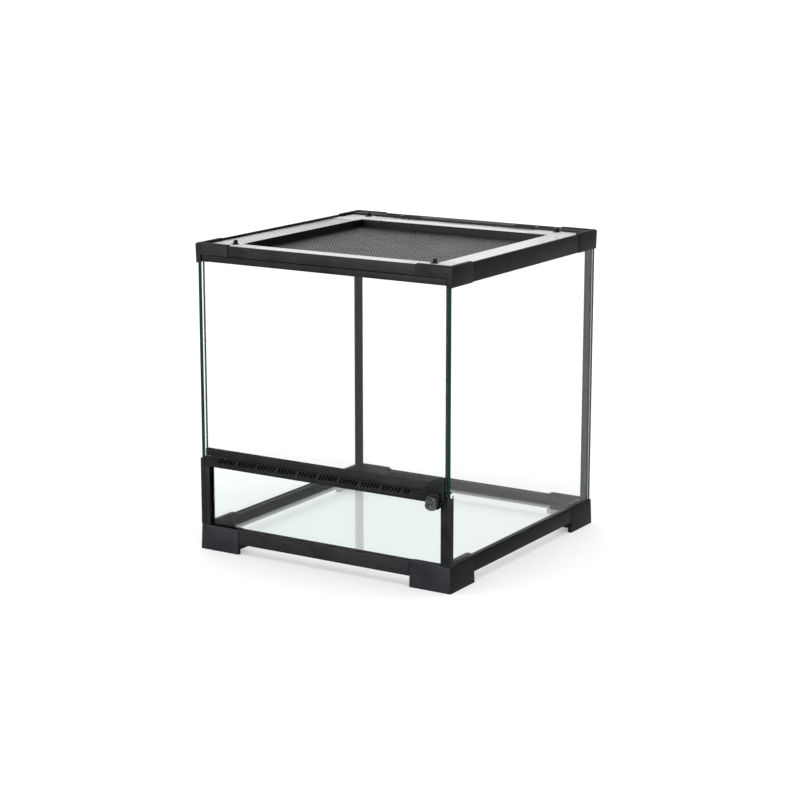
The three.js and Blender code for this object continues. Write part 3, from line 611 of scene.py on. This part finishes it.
MARK_RADIUS = 2.4 * MM
MARK_WIRE = 0.35 * MM  # radius of the raised line
MARK_FROM_BACK = 18 * MM
MARK_FROM_TOP = 6 * MM
MARK_STEPS = 36
WIRE_STEPS = 8


def add_gate_mark():
    """A fine moulded ring on the side of the rear right crown corner."""
    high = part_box("top_corner_back_right")[1]
    centre = high - Vector((MARK_WIRE, MARK_FROM_BACK, MARK_FROM_TOP))
    rings = []
    for k in range(MARK_STEPS):
        turn = 2 * math.pi * k / MARK_STEPS
        ring = []
        for j in range(WIRE_STEPS):
            roll = 2 * math.pi * j / WIRE_STEPS
            out = MARK_RADIUS + MARK_WIRE * math.cos(roll)
            offset = (MARK_WIRE * math.sin(roll), out * math.cos(turn), out * math.sin(turn))
            ring.append(centre + Vector(offset))
        rings.append(ring)
    # The ring is drawn in the darker painted-shade black.
    sweep_closed("gate_mark", rings, True, BLACK_PAINTED_SHADE, "tank")


add_vent_gauze()
add_catch_collars()
add_gate_mark()

# ---- Studio: white floor, soft even light ----
FLOOR_RADIUS = 40.0
FLOOR_SIDES = 96
FLOOR_WHITE = 0.88
WORLD_STRENGTH = 1.06
KEY_DIRECTION = (0.45, 0.85, -0.35)
KEY_ENERGY = 8.5
KEY_ANGLE = math.radians(50)
FILL_DIRECTION = (0.0, 0.0, -1.0)
FILL_ENERGY = 1.1
FILL_ANGLE = math.radians(60)
PANEL_ENERGY = 0.095
PANEL_DROP = 6 * MM  # from the underside of the floor pane
BOUNCES = 24


def add_floor():
    bm = bmesh.new()
    bmesh.ops.create_circle(bm, cap_ends=True, radius=FLOOR_RADIUS, segments=FLOOR_SIDES)
    floor = bpy.data.objects.new("studio_floor", from_bmesh("studio_floor", bm))
    floor.data.materials.append(Surface("studio_floor").principled({
        "Base Color": (FLOOR_WHITE, FLOOR_WHITE, FLOOR_WHITE, 1),
        "Roughness": 0.9,
        "Specular IOR Level": 0.0,
    }))
    bpy.context.scene.collection.objects.link(floor)
    floor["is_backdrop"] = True
    return floor


def add_world():
    world = bpy.data.worlds.new("studio")
    world.use_nodes = True
    background = world.node_tree.nodes["Background"]
    background.inputs["Color"].default_value = (1, 1, 1, 1)
    background.inputs["Strength"].default_value = WORLD_STRENGTH
    bpy.context.scene.world = world


def add_sun(name, direction, energy, angle, receivers):
    light = bpy.data.lights.new(name, "SUN")
    light.energy = energy
    light.angle = angle
    lamp = bpy.data.objects.new(name, light)
    lamp.rotation_mode = "QUATERNION"
    lamp.rotation_quaternion = Vector(direction).to_track_quat("-Z", "Y")
    bpy.context.scene.collection.objects.link(lamp)
    lamp.light_linking.receiver_collection = receivers
    return lamp


def add_under_panel(receivers):
    """A soft panel low under the cage keeps the floor beneath it as white as the floor round it."""
    low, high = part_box("floor_pane")
    light = bpy.data.lights.new("under_cage", "AREA")
    light.shape = "RECTANGLE"
    light.size = high.x - low.x
    light.size_y = high.y - low.y
    light.energy = PANEL_ENERGY
    lamp = bpy.data.objects.new("under_cage", light)
    lamp.location = ((low.x + high.x) / 2, (low.y + high.y) / 2, low.z - PANEL_DROP)
    lamp.visible_camera = False
    lamp.visible_glossy = False
    lamp.visible_transmission = False
    bpy.context.scene.collection.objects.link(lamp)
    lamp.light_linking.receiver_collection = receivers
    lamp.light_linking.blocker_collection = receivers


def add_camera():
    camera = bpy.data.objects.new("camera", bpy.data.cameras.new("camera"))
    camera.data.lens = CAMERA_LENS
    camera.data.sensor_width = SENSOR_WIDTH
    camera.data.clip_start, camera.data.clip_end = CLIP
    back = Vector((
        math.sin(CAMERA_AZIMUTH) * math.cos(CAMERA_ELEVATION),
        -math.cos(CAMERA_AZIMUTH) * math.cos(CAMERA_ELEVATION),
        math.sin(CAMERA_ELEVATION),
    ))
    camera.location = CAMERA_PLACE
    camera.rotation_mode = "QUATERNION"
    camera.rotation_quaternion = (-back).to_track_quat("-Z", "Y")
    bpy.context.scene.collection.objects.link(camera)
    bpy.context.scene.camera = camera


def collection_of(name, pieces):
    made = bpy.data.collections.new(name)
    bpy.context.scene.collection.children.link(made)
    for piece in pieces:
        made.objects.link(piece)
    return made


def is_black(piece):
    return any(used.material in BLACKS for used in piece.material_slots)


on_floor = collection_of("lit_by_floor_fill", [add_floor()])
mouldings = collection_of("lit_by_key", [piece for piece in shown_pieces() if is_black(piece)])
add_world()
add_sun("key", KEY_DIRECTION, KEY_ENERGY, KEY_ANGLE, mouldings)
fill = add_sun("floor_fill", FILL_DIRECTION, FILL_ENERGY, FILL_ANGLE, on_floor)
fill.light_linking.blocker_collection = on_floor
add_under_panel(on_floor)
add_camera()

scene = bpy.context.scene
scene.view_settings.view_transform = "Standard"
scene.cycles.max_bounces = BOUNCES
scene.cycles.transmission_bounces = BOUNCES
scene.cycles.transparent_max_bounces = BOUNCES
